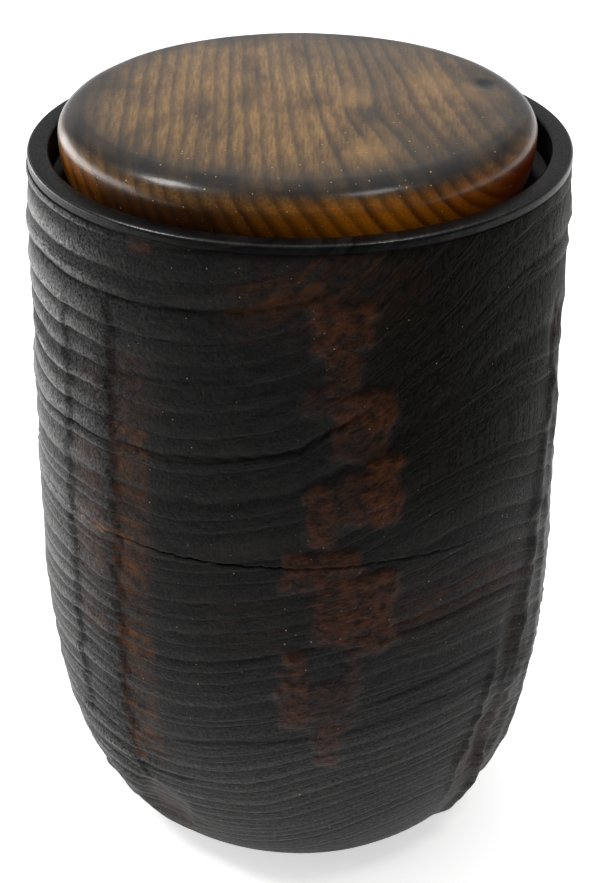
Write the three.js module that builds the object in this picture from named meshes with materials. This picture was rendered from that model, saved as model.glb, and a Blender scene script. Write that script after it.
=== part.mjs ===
// A lidded tea caddy: a tall pot turned and carved from one block of wood, and a turned
// wooden lid that drops into its mouth and stands loose inside the rim.
// Millimetres, +Z up. The origin is the centre of the flat foot that the pot stands on.

import * as THREE from 'three';

// ---- Driving dimensions ------------------------------------------------------------

const RIM_RADIUS = 40; // outside of the pot at the rim
const POT_HEIGHT = 112.5; // foot to rim
const FOOT_RADIUS = 19.5; // flat resting face
const TAPER_HEIGHT = 56.5; // below this height the wall rounds in towards the foot
const TAPER_POWER = 2.76; // how late that rounding starts: 2 is an ellipse, more is fuller

const LIP_HEIGHT = 1.6; // smooth turned lip above the marking groove
const LIP_EDGE = 0.9; // rounding of the lip's outer and inner edges
const GROOVE_WIDTH = 0.8;
const GROOVE_DEPTH = 0.5;

const MOUTH_RADIUS = 36.8; // recess that the lid drops into
const MOUTH_DEPTH = 5.0; // rim down to the ledge that the lid rests on
const CHAMBER_RADIUS = 32; // bore of the tea chamber below the ledge
const FLOOR_HEIGHT = 11; // thickness of the bottom
const FLOOR_RADIUS = 16; // flat part of the chamber's floor
const FLOOR_CURVE_HEIGHT = 38; // height of the curve that joins floor and bore

const LID_RADIUS = 35.05; // widest line of the lid
const LID_RISE = 7.0; // lid's crown above the rim
const LID_SHOULDER_START = 2.2; // above the rim: the side is upright up to here
const LID_SHOULDER_POWER = 3.3; // how square the rounded shoulder is
const LID_UNDERCUT = 1.4; // how far the side draws in again down to the seat
const SPIGOT_RADIUS = 31.2; // plug under the lid that finds the bore
const SPIGOT_HEIGHT = 5.5;
const SPIGOT_EDGE = 0.8;
const DISH_RADIUS = 26; // shallow hollow turned into the lid's underside
const DISH_DEPTH = 1.6;
const SEAT_GAP = 0.3; // the lid's seat above the ledge
const LID_SHIFT = -0.35; // the lid stands a little to one side in its mouth

const AROUND = 64; // faces round each turned piece

// ---- Outlines ----------------------------------------------------------------------
// Every outline is a list of (radius, height) points, from the axis, up the outside and
// back to the axis, as a turner would sweep a template.

// Radius of the pot's outside at a height.
function potRadius(z) {
  const u = Math.max(0, (TAPER_HEIGHT - z) / TAPER_HEIGHT);
  const fullness = Math.sqrt(Math.max(0, 1 - u ** TAPER_POWER));
  return FOOT_RADIUS + (RIM_RADIUS - FOOT_RADIUS) * fullness;
}

// Points on an ellipse's arc, both ends included, angles in degrees from the +radius axis.
function arc(centre, radii, from, to, steps) {
  const points = [];
  for (let i = 0; i <= steps; i += 1) {
    const angle = THREE.MathUtils.degToRad(from + ((to - from) * i) / steps);
    points.push([centre[0] + radii[0] * Math.cos(angle), centre[1] + radii[1] * Math.sin(angle)]);
  }
  return points;
}

function potOutline() {
  const points = [[0, 0]];
  // The rounded lower half, with points closer together where it turns most.
  const taperSteps = 13;
  for (let i = 0; i <= taperSteps; i += 1) {
    const z = TAPER_HEIGHT * (i / taperSteps) ** 1.8;
    points.push([potRadius(z), z]);
  }
  // The upright wall, the marking groove and the rounded lip.
  const grooveTop = POT_HEIGHT - LIP_HEIGHT;
  const grooveMiddle = grooveTop - GROOVE_WIDTH / 2;
  points.push([RIM_RADIUS, (TAPER_HEIGHT + grooveTop) / 2]);
  points.push([RIM_RADIUS, grooveTop - GROOVE_WIDTH]);
  points.push([RIM_RADIUS - GROOVE_DEPTH, grooveMiddle]);
  points.push([RIM_RADIUS - 0.1, grooveTop]);
  const lipCentreHeight = POT_HEIGHT - LIP_EDGE;
  points.push(...arc([RIM_RADIUS - LIP_EDGE, lipCentreHeight], [LIP_EDGE, LIP_EDGE], 0, 90, 3));
  points.push(...arc([MOUTH_RADIUS + LIP_EDGE, lipCentreHeight], [LIP_EDGE, LIP_EDGE], 90, 180, 3));
  // Down the mouth to the ledge, in to the bore, and down to the chamber's floor.
  const ledge = POT_HEIGHT - MOUTH_DEPTH;
  points.push([MOUTH_RADIUS, ledge]);
  points.push([CHAMBER_RADIUS + 0.4, ledge]);
  points.push([CHAMBER_RADIUS, ledge - 0.4]);
  const curveWidth = CHAMBER_RADIUS - FLOOR_RADIUS;
  const curveCentre = [FLOOR_RADIUS, FLOOR_HEIGHT + FLOOR_CURVE_HEIGHT];
  points.push(...arc(curveCentre, [curveWidth, FLOOR_CURVE_HEIGHT], 0, -90, 8));
  points.push([0, FLOOR_HEIGHT]);
  return points;
}

function lidOutline() {
  const seat = POT_HEIGHT - MOUTH_DEPTH + SEAT_GAP;
  const widest = POT_HEIGHT + LID_SHOULDER_START;
  const crown = POT_HEIGHT + LID_RISE;
  const spigotBottom = seat - SPIGOT_HEIGHT;
  const points = [];
  // The dish in the underside is half a cosine wave, deepest on the axis.
  const dishSteps = 6;
  for (let i = 0; i <= dishSteps; i += 1) {
    const t = i / dishSteps;
    const depth = (DISH_DEPTH * (1 + Math.cos(Math.PI * t))) / 2;
    points.push([DISH_RADIUS * t, spigotBottom + depth]);
  }
  points.push([SPIGOT_RADIUS - SPIGOT_EDGE, spigotBottom]);
  points.push([SPIGOT_RADIUS, spigotBottom + SPIGOT_EDGE]);
  points.push([SPIGOT_RADIUS, seat]);
  // The side draws out from the seat to the widest line in a gentle curve.
  const sideSteps = 5;
  for (let i = 0; i < sideSteps; i += 1) {
    const t = i / sideSteps;
    points.push([LID_RADIUS - LID_UNDERCUT * (1 - t) ** 2, seat + (widest - seat) * t]);
  }
  // Shoulder and crown are one superellipse, so the top is a shallow dome.
  const domeSteps = 12;
  for (let i = 0; i < domeSteps; i += 1) {
    const angle = (Math.PI / 2) * (i / domeSteps);
    const r = LID_RADIUS * Math.cos(angle) ** (2 / LID_SHOULDER_POWER);
    const z = widest + (crown - widest) * Math.sin(angle) ** (2 / LID_SHOULDER_POWER);
    points.push([r, z]);
  }
  points.push([0, crown]);
  return points;
}

// ---- Pieces ------------------------------------------------------------------------

// Sweeps an outline round the Z axis into one closed solid.
function turned(name, outline, material) {
  const profile = outline.map(([r, z]) => new THREE.Vector2(r, z));
  const geometry = new THREE.LatheGeometry(profile, AROUND);
  geometry.rotateX(Math.PI / 2);
  const mesh = new THREE.Mesh(geometry, material);
  mesh.name = name;
  return mesh;
}

const blackenedWood = new THREE.MeshStandardMaterial({
  name: 'blackened_wood',
  color: '#26241f',
  roughness: 0.55,
  metalness: 0,
});

const amberLacqueredWood = new THREE.MeshStandardMaterial({
  name: 'amber_lacquered_wood',
  color: '#5a3d22',
  roughness: 0.35,
  metalness: 0,
});

const body = turned('body', potOutline(), blackenedWood);
const lid = turned('lid', lidOutline(), amberLacqueredWood);
lid.position.x = LID_SHIFT;

const caddy = new THREE.Group();
caddy.add(body, lid);

export default caddy;
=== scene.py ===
"""Tea caddy in wood: a blackened, brushed pot and an amber-lacquered lid.

Laid out as an add-on: settings, one operator for each piece and one for the stage, and a panel.
"""
import math
from functools import partial

import bpy
import numpy as np
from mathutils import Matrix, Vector, noise


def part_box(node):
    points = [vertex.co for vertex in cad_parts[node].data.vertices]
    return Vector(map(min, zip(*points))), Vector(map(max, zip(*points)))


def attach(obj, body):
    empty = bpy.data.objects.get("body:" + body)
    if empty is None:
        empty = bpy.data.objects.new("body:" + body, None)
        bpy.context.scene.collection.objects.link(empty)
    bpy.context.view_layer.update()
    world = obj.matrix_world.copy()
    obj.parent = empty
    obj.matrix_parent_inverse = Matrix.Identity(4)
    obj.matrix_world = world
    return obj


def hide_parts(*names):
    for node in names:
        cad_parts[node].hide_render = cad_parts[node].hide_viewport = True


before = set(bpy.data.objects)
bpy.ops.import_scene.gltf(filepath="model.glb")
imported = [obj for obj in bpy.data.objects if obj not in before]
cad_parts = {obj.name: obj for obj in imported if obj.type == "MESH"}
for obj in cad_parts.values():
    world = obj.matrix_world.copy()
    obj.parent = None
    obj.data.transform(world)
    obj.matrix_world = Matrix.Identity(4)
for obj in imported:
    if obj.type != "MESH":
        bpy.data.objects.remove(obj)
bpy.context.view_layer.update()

bl_info = {
    "name": "Wooden tea caddy",
    "version": (1, 0, 0),
    "blender": (4, 5, 0),
    "location": "3D View > Sidebar > Tea caddy",
    "description": "Builds a turned wooden tea caddy round its packed model",
    "category": "Add Mesh",
}

MM = 0.001

# ---- Sizes of the turned shapes, in millimetres, as the model has them ------------------

POT_LOW, POT_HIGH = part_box("body")
LID_LOW, LID_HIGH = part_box("lid")
RIM_RADIUS = (POT_HIGH.x - POT_LOW.x) / 2 / MM
POT_HEIGHT = POT_HIGH.z / MM
LID_RADIUS = (LID_HIGH.x - LID_LOW.x) / 2 / MM
LID_CENTRE = (LID_HIGH.x + LID_LOW.x) / 2 / MM
LID_TOP = LID_HIGH.z / MM
LID_BOTTOM = LID_LOW.z / MM

FOOT_RADIUS = 19.5
TAPER_HEIGHT = 56.5
TAPER_POWER = 2.76
LIP_HEIGHT = 1.2
LIP_EDGE = 0.55
GROOVE_WIDTH = 0.5
GROOVE_DEPTH = 0.03
LIP_SHINE_FROM = 4  # rows of the lip's rounded outer edge, counted up from the groove
LIP_SHINE_TO = 6
MOUTH_RADIUS = 36.8
MOUTH_DEPTH = 5.0
CHAMBER_RADIUS = 32.0
FLOOR_HEIGHT = 11.0
FLOOR_RADIUS = 16.0
FLOOR_CURVE_HEIGHT = 38.0

LID_SHOULDER_START = 2.2
LID_SHOULDER_WIDTH = 4.6
LID_CROWN = 1.0
LID_UNDERCUT = 1.4
SPIGOT_RADIUS = 31.2
SPIGOT_HEIGHT = 5.5
SPIGOT_EDGE = 0.8
DISH_RADIUS = 26.0
DISH_DEPTH = 1.6

# ---- How the pot is worked, in millimetres: distances along the wall run from the middle
# ---- of the front, to the right as positive, and heights from the foot ------------------

# The wall swells to the left and is pared away on the right, most at half height.
LEAN = 0.62

# Growth rings: level with the ground on the left, rising to the right across the front, and
# fanning out above half height on the right.
RING_RISE = 9.0
RING_RISE_FROM = -22.0
RING_RISE_TO = 25.0
RING_FALL = 0.028
RING_FAN = 0.0125
RING_FAN_HEIGHT = 61.0
RING_FAN_SOFTNESS = 4.0

# Upright facets left by a plane: (edge, bottom, top, step).
FACETS = (
    (-39.5, 26, 97, 0.34),
    (-29.0, 18, 99, 0.38),
    (-62.0, 12, 88, 0.30),
    (-84.0, 20, 104, 0.40),
    (-101.0, 8, 76, 0.30),
    (-118.0, 30, 108, 0.36),
    (92.0, 16, 90, 0.34),
    (108.0, 24, 100, 0.30),
)
FACET_WIDTH = 10.0

# Lines cut deeper between rings and painted dark as shade: points as (place, height), then width and
# strength.
GROOVES = (
    (((-60, 76.5), (-40, 77.8), (-20, 78.6), (-10, 79.9), (0, 81.6), (5, 85), (10, 88)), 0.36, 0.85),
    (((-52, 101.2), (-40, 101.0), (-30, 100.8), (-10, 102), (0, 104), (8, 107)), 0.3, 0.6),
    (((-50, 89.4), (-36, 89.6), (-26, 89.6), (-14, 91), (-6, 92.5)), 0.35, 0.6),
    (((-52, 71.2), (-36, 71.8), (-24, 71.8), (-14, 72.5)), 0.3, 0.5),
    (((10, 38.4), (20, 40.2), (30, 40.9), (36, 40.2)), 0.35, 0.6),
    (((12, 50), (20, 50.8), (30, 51.3), (40, 50)), 0.35, 0.6),
    (((-25, 28.2), (-10, 31.5), (0, 33), (5, 33.5), (20, 36.4), (38, 36)), 0.3, 0.5),
    (((-48, 24.8), (-38, 24.6), (-28, 24.5), (-20, 25.5)), 0.35, 0.7),
    (((-46, 20.6), (-36, 20.4), (-26, 20.6), (-16, 21.8)), 0.35, 0.7),
    (((64, 84), (80, 80), (100, 79), (118, 76)), 0.45, 0.9),
)
GROOVE_CUT = 0.26

# Bark left in the wood down the front: (left, bottom, right, top, how red).
BARK = (
    (2.0, 96.5, 10.4, 104.0, 0.85),
    (8.0, 97.2, 11.6, 99.0, 1.0),
    (2.6, 90.3, 8.4, 98.0, 0.6),
    (0.2, 87.2, 4.5, 92.2, 0.35),
    (4.0, 83.6, 13.3, 90.8, 0.75),
    (4.2, 79.5, 12.0, 85.0, 0.4),
    (9.2, 69.0, 14.8, 80.5, 1.0),
    (5.0, 69.5, 10.0, 78.0, 0.45),
    (0.6, 66.2, 5.6, 76.3, 0.85),
    (-3.0, 58.8, 3.0, 65.4, 0.7),
    (1.6, 49.8, 8.6, 66.0, 0.75),
    (8.2, 47.5, 14.0, 62.0, 0.7),
    (-3.1, 35.2, 1.2, 49.0, 0.7),
    (6.8, 38.0, 8.8, 50.0, 0.4),
    (0.5, 33.8, 7.5, 43.5, 0.35),
    (2.2, 27.6, 6.5, 36.0, 0.7),
)
BARK_CORNER = 1.9
BARK_HEIGHT = 0.42

# Places where the black has rubbed down to red-brown wood:
# (left, bottom, right, top, softness, how much).
RUBBED = (
    (-38.5, 44, -31.5, 76, 1.2, 0.5),
    (-29.3, 24, -22.8, 94, 1.0, 0.8),
    (-29.6, 22, -27.6, 64, 0.7, 1.2),
    (-28.6, 38, -25.4, 60, 1.0, 1.4),
    (-27.5, 84.5, -20, 87, 0.9, 0.6),
    (-27.0, 88, -20, 90.2, 0.9, 0.5),
    (-36.5, 84.4, -31, 90, 1.2, 0.45),
    (-25.0, 108.6, -21.3, 111.2, 0.9, 0.7),
    (-8, 100, 16, 111, 6, 0.8),
    (14, 48, 42, 60, 4, 0.35),
    (-13, 50, -2, 57, 3, 0.3),
    (30, 15, 38, 24, 3, 0.35),
    (-30, 8, -22, 14, 3, 0.4),
    (70, 20, 78, 86, 2, 0.5),
    (-96, 30, -88, 92, 2, 0.5),
    (112, 34, 120, 80, 2, 0.45),
)

# The drying crack.
CRACK_HEIGHT = 63.1
CRACK_LEFT = -80.0
CRACK_RIGHT = 37.0
CRACK_DEPTH = 0.8
CRACK_HALF_WIDTH = 0.1
CHIPS_LEFT = -37.0
CHIPS_RIGHT = -23.0

# The rough edge on the right: crest lines as (height, place) points, with width and height
# of the crest; then hollows as (place, height, half width, half height, depth).
CRESTS = (
    (((6, 36), (28, 39), (45, 42), (60, 44.5), (78, 48.5), (92, 51)), 1.6, 1.25),
    (((13, 29.6), (18, 28.8), (24, 29.8), (30, 32.2), (38, 34.2)), 0.6, 0.8),
    (((29, 38.2), (33, 37.3), (37, 38.6), (46, 41)), 0.5, 0.45),
    (((10, 46), (30, 48), (58, 49.5), (76, 54)), 1.2, 0.7),
    (((12, 101), (40, 97), (70, 99), (92, 96)), 1.5, 0.7),
)
HOLLOWS = (
    (36.8, 23.0, 7.0, 9.0, 1.5),
    (38.2, 41.5, 3.2, 7.0, 0.5),
    (43.0, 34.0, 3.2, 5.0, 0.7),
    (50.5, 87.5, 4.5, 8.0, 0.8),
    (-27.0, 12.5, 8.0, 6.5, 1.0),
    (-110.0, 22.0, 9.0, 7.0, 1.1),
    (86.0, 74.0, 5.0, 9.0, 0.8),
)

# ---- Marks on the lid, in millimetres from its middle, +Y towards the back --------------

LID_PITH = (40.5, 22.0)  # heart of the tree: beside the lid's middle and above the rim
LID_RING_WIDTH = 2.05
LID_FIGURE = (11.0, -7.6)
LID_KNOT = (27.6, 6.6)
# Blurred marks in the lid's wood: (right, back, radius, dark or bright, how strong).
LID_MARKS = (
    (8.3, -1.2, 2.8, "bright", 0.5),
    (9.8, -22.5, 3.6, "bright", 0.55),
    (20.0, 7.0, 4.0, "bright", 0.35),
    (26.5, 2.0, 3.6, "bright", 0.4),
    (-14.0, -6.0, 4.0, "dark", 0.35),
    (10.4, -8.6, 2.7, "dark", 0.75),
    (2.0, 22.0, 7.0, "dark", 0.4),
    (16.0, 16.0, 5.0, "dark", 0.45),
    (16.0, -14.0, 4.5, "dark", 0.4),
)


# ---- Small tools ------------------------------------------------------------------------


def linear(hex_colour):
    """A colour written as sRGB hex, as the linear RGBA that materials take."""
    channels = [int(hex_colour[i:i + 2], 16) / 255 for i in (1, 3, 5)]
    return [c / 12.92 if c <= 0.04045 else ((c + 0.055) / 1.055) ** 2.4 for c in channels] + [1.0]


def smooth(low, high, values):
    """0 below low, 1 above high, and a smooth step between."""
    t = np.clip((values - low) / (high - low), 0, 1)
    return t * t * (3 - 2 * t)


def wobble(points, size, seed):
    """Smooth noise from about -1 to 1 at each point, with features of that size."""
    offset = Vector((seed * 17.3, seed * 5.1, seed * 9.7))
    return np.array([noise.noise(Vector(p) / size + offset) for p in points])


def arc(centre, radii, start, end, steps):
    """Points (radius, height) along an ellipse's arc, both ends included, angles in degrees."""
    angles = np.radians(np.linspace(start, end, steps + 1))
    return [(centre[0] + radii[0] * math.cos(a), centre[1] + radii[1] * math.sin(a)) for a in angles]


def fill(tree, node, values):
    """Sets a node's inputs, or links them to other nodes: in their order, or by name from a dict."""
    if isinstance(values, dict):
        pairs = [(node.inputs[name], value) for name, value in values.items()]
    else:
        pairs = zip([socket for socket in node.inputs if socket.enabled], values)
    for socket, value in pairs:
        if isinstance(value, bpy.types.Node):
            value = next(output for output in value.outputs if output.enabled)
        if isinstance(value, bpy.types.NodeSocket):
            tree.links.new(value, socket)
        else:
            socket.default_value = value


def add_node(tree, kind, *values, **settings):
    """Adds one node: settings are its properties, and values fill its inputs.

    A shader node's kind leaves out the ShaderNode that its type's name starts with.
    """
    new = tree.nodes.new(kind if "Node" in kind else "ShaderNode" + kind)
    for name, value in settings.items():
        setattr(new, name, value)
    fill(tree, new, values[0] if values and isinstance(values[0], dict) else values)
    return new


def turned_mesh(name, rings):
    """A closed mesh from rings of points, the first and last being single points on the axis.

    rings is an array (ring, point round it, xyz) in metres, without those two end points,
    which lie at the middle of the first and last ring.
    """
    count, around = rings.shape[:2]
    ends = rings[[0, -1]].mean(axis=1)
    points = np.concatenate([rings.reshape(-1, 3), ends])
    here = np.arange(count * around).reshape(count, around)
    right = np.roll(here, -1, axis=1)
    quads = np.stack([here[:-1], right[:-1], right[1:], here[1:]], axis=-1).reshape(-1, 4)
    first, last = count * around, count * around + 1
    faces = [tuple(q) for q in quads.tolist()]
    faces += [(first, b, a) for a, b in zip(here[0].tolist(), right[0].tolist())]
    faces += [(last, a, b) for a, b in zip(here[-1].tolist(), right[-1].tolist())]
    mesh = bpy.data.meshes.new(name)
    mesh.from_pydata(points.tolist(), [], faces)
    mesh.shade_smooth()
    mesh.update()
    return mesh


def store(mesh, name, values):
    """Keeps one number for each point of the mesh under a name."""
    attribute = mesh.attributes.new(name, "FLOAT", "POINT")
    attribute.data.foreach_set("value", np.asarray(values, np.float32))


def new_object(name, mesh):
    """A mesh's object, at the origin and in the scene."""
    piece = bpy.data.objects.new(name, mesh)
    bpy.context.scene.collection.objects.link(piece)
    return piece


# ---- The pot's shape --------------------------------------------------------------------


def pot_radius(z):
    """Radius of the turned wall at a height."""
    u = np.clip((TAPER_HEIGHT - z) / TAPER_HEIGHT, 0, 1)
    return FOOT_RADIUS + (RIM_RADIUS - FOOT_RADIUS) * np.sqrt(1 - u ** TAPER_POWER)


def wall_heights(lower_rows, upper_rows):
    """Heights of the wall's rows: evenly spaced along the wall, and close at the crack."""
    z = np.linspace(0, 1, 2000) ** 2.4 * TAPER_HEIGHT
    length = np.concatenate([[0], np.cumsum(np.hypot(np.diff(z), np.diff(pot_radius(z))))])
    lower = np.interp(np.linspace(0, length[-1], lower_rows), length, z)
    top = POT_HEIGHT - LIP_HEIGHT - GROOVE_WIDTH
    upper = np.linspace(TAPER_HEIGHT, top, upper_rows)[1:]
    rows = np.concatenate([lower, upper])
    rows = rows[np.abs(rows - CRACK_HEIGHT) > 1.3]
    crack = CRACK_HEIGHT + np.array([-1.1, -0.7, -0.4, -0.2, -0.09, 0, 0.09, 0.2, 0.4, 0.7, 1.1])
    return np.sort(np.concatenate([rows, crack]))


def lip_and_chamber():
    """Outline (radius, height) from the groove under the lip, over it and down inside."""
    groove_top = POT_HEIGHT - LIP_HEIGHT
    centre = POT_HEIGHT - LIP_EDGE
    ledge = POT_HEIGHT - MOUTH_DEPTH
    points = [(RIM_RADIUS - GROOVE_DEPTH, groove_top - GROOVE_WIDTH / 2)]
    points += [(RIM_RADIUS - GROOVE_DEPTH, groove_top)]
    points += arc((RIM_RADIUS - LIP_EDGE, centre), (LIP_EDGE, LIP_EDGE), 0, 90, 6)
    points += arc((MOUTH_RADIUS + LIP_EDGE, centre), (LIP_EDGE, LIP_EDGE), 90, 180, 6)
    points += [(MOUTH_RADIUS, ledge + 0.3), (MOUTH_RADIUS - 0.3, ledge)]
    points += [(CHAMBER_RADIUS + 0.4, ledge), (CHAMBER_RADIUS, ledge - 0.4)]
    centre = (FLOOR_RADIUS, FLOOR_HEIGHT + FLOOR_CURVE_HEIGHT)
    radii = (CHAMBER_RADIUS - FLOOR_RADIUS, FLOOR_CURVE_HEIGHT)
    points += arc(centre, radii, 0, -90, 9)
    points += [(FLOOR_RADIUS / 2, FLOOR_HEIGHT)]
    return points


def ring_level(x, z):
    """Which growth ring a point of the pot lies in, as its height at the left of the front."""
    low = 1 - smooth(12, 34, z)
    rise = RING_RISE * (1 - low) * smooth(RING_RISE_FROM, RING_RISE_TO, x)
    rise += RING_RISE * low * smooth(RING_RISE_FROM + 10, RING_RISE_TO - 5, x)
    rise -= RING_FALL * np.clip(x - RING_RISE_TO, 0, None) ** 2
    above = z - RING_FAN_HEIGHT
    above = (above + np.sqrt(above ** 2 + RING_FAN_SOFTNESS ** 2)) / 2
    return z - rise - RING_FAN * np.clip(x, 0, None) * above


def soft_box(along, z, left, bottom, right, top, softness):
    """1 inside a box on the wall and 0 outside it, with a soft edge."""
    sides = smooth(left - softness, left + softness, along)
    sides *= 1 - smooth(right - softness, right + softness, along)
    ends = smooth(bottom - softness, bottom + softness, z)
    ends *= 1 - smooth(top - softness, top + softness, z)
    return sides * ends


def bark_patch(along, z, points):
    """How far a point lies in the patch of bark, and how red the bark is there."""
    along = along + 1.4 * wobble(points, 2.8, 1) + 0.6 * wobble(points, 1.1, 2)
    z = z + 1.0 * wobble(points, 3.1, 3) + 0.6 * wobble(points, 1.2, 4)
    inside = np.zeros(len(z))
    red = np.zeros(len(z))
    for left, bottom, right, top, redness in BARK:
        across = np.abs(along - (left + right) / 2) - (right - left) / 2 + BARK_CORNER
        up = np.abs(z - (bottom + top) / 2) - (top - bottom) / 2 + BARK_CORNER
        outside = np.hypot(np.clip(across, 0, None), np.clip(up, 0, None))
        distance = outside + np.minimum(np.maximum(across, up), 0) - BARK_CORNER
        cover = 1 - smooth(-1.0, 0.6, distance)
        inside = np.maximum(inside, cover * (0.55 + 0.45 * redness))
        red = np.maximum(red, cover * redness)
    return inside, red


def facet_depth(along, z, points):
    """Depth pared away beside each upright facet edge, and the painted shade line at its foot."""
    jitter = 0.9 * wobble(points, 7, 5) + 0.35 * wobble(points, 1.6, 6)
    jitter += 1.5 * (np.mod(z / 5.6 + 0.5 * wobble(points, 9, 15), 1) - 0.5)
    depth = np.zeros(len(z))
    line = np.zeros(len(z))
    for edge, bottom, top, step in FACETS:
        across = along + jitter - edge
        cut = smooth(-0.3, 0.3, across) * (1 - smooth(0.4, FACET_WIDTH, across))
        ends = smooth(bottom - 5, bottom + 5, z) * (1 - smooth(top - 4, top + 4, z))
        depth = np.maximum(depth, step * cut * ends)
        # Painted shade: a broken dark line along the foot of each facet step.
        broken = np.clip(0.6 + 0.9 * wobble(points, 2.6, 14), 0, 1)
        line = np.maximum(line, broken * ends * np.exp(-((across - 0.1) / 0.45) ** 2))
    return depth, line


def groove_line(along, z):
    """How far a point lies in the deep line left between two bands of the pot."""
    line = np.zeros(len(z))
    for points, width, strength in GROOVES:
        places, heights = zip(*points)
        middle = np.interp(along, places, heights)
        run = smooth(places[0] - 3, places[0] + 3, along) * (1 - smooth(places[-1] - 4, places[-1], along))
        line = np.maximum(line, strength * run * np.exp(-((z - middle) / width) ** 2))
    return line


def rough_edge(along, z, points):
    """Height of the bark-like crests, less the hollows between them, and where those are."""
    ragged = wobble(points, 2.4, 7)
    height = np.zeros(len(z))
    hollow = np.zeros(len(z))
    for line, width, crest in CRESTS:
        heights, places = zip(*line)
        middle = np.interp(z, heights, places) + 0.9 * ragged
        ends = smooth(heights[0] - 4, heights[0] + 2, z)
        ends *= 1 - smooth(heights[-1] - 2, heights[-1] + 4, z)
        blocks = 0.65 + 0.5 * wobble(points, 3.4, 8)
        height += crest * blocks * ends * np.exp(-((along - middle) / width) ** 2)
    for place, middle, half_width, half_height, depth in HOLLOWS:
        far = np.hypot((along - place) / half_width, (z - middle) / half_height)
        bowl = 1 - smooth(0.25, 1.05, far + 0.18 * ragged)
        height -= depth * bowl
        hollow = np.maximum(hollow, bowl)
    return height, hollow


def crack_line(along):
    """Height of the crack at a place along the wall."""
    bend = 0.3 * np.sin(along / 9 + 1) - 0.012 * (along + 20)
    return CRACK_HEIGHT + bend + 0.1 * np.sin(along * 1.9) + 0.07 * np.sin(along * 4.3 + 1)


def grain_height(along, z):
    """How far the hard rings stand out of the brushed wall, in millimetres."""
    side = 1 - smooth(-34, -17, along) * (1 - smooth(50, 62, along))
    side *= 1 - 0.4 * smooth(62, 84, np.abs(along))
    height = 0.02 + 0.42 * side + 0.03 * (1 - smooth(14, 40, z))
    height *= 1 + 0.5 * smooth(74, 84, z) * side
    height *= 1 - 0.6 * smooth(26, 33, along) * (1 - smooth(50, 56, along))
    ripple = np.exp(-((along + 38) / 11) ** 2 - ((z - 22) / 6) ** 2)
    return height + 0.16 * ripple


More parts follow.
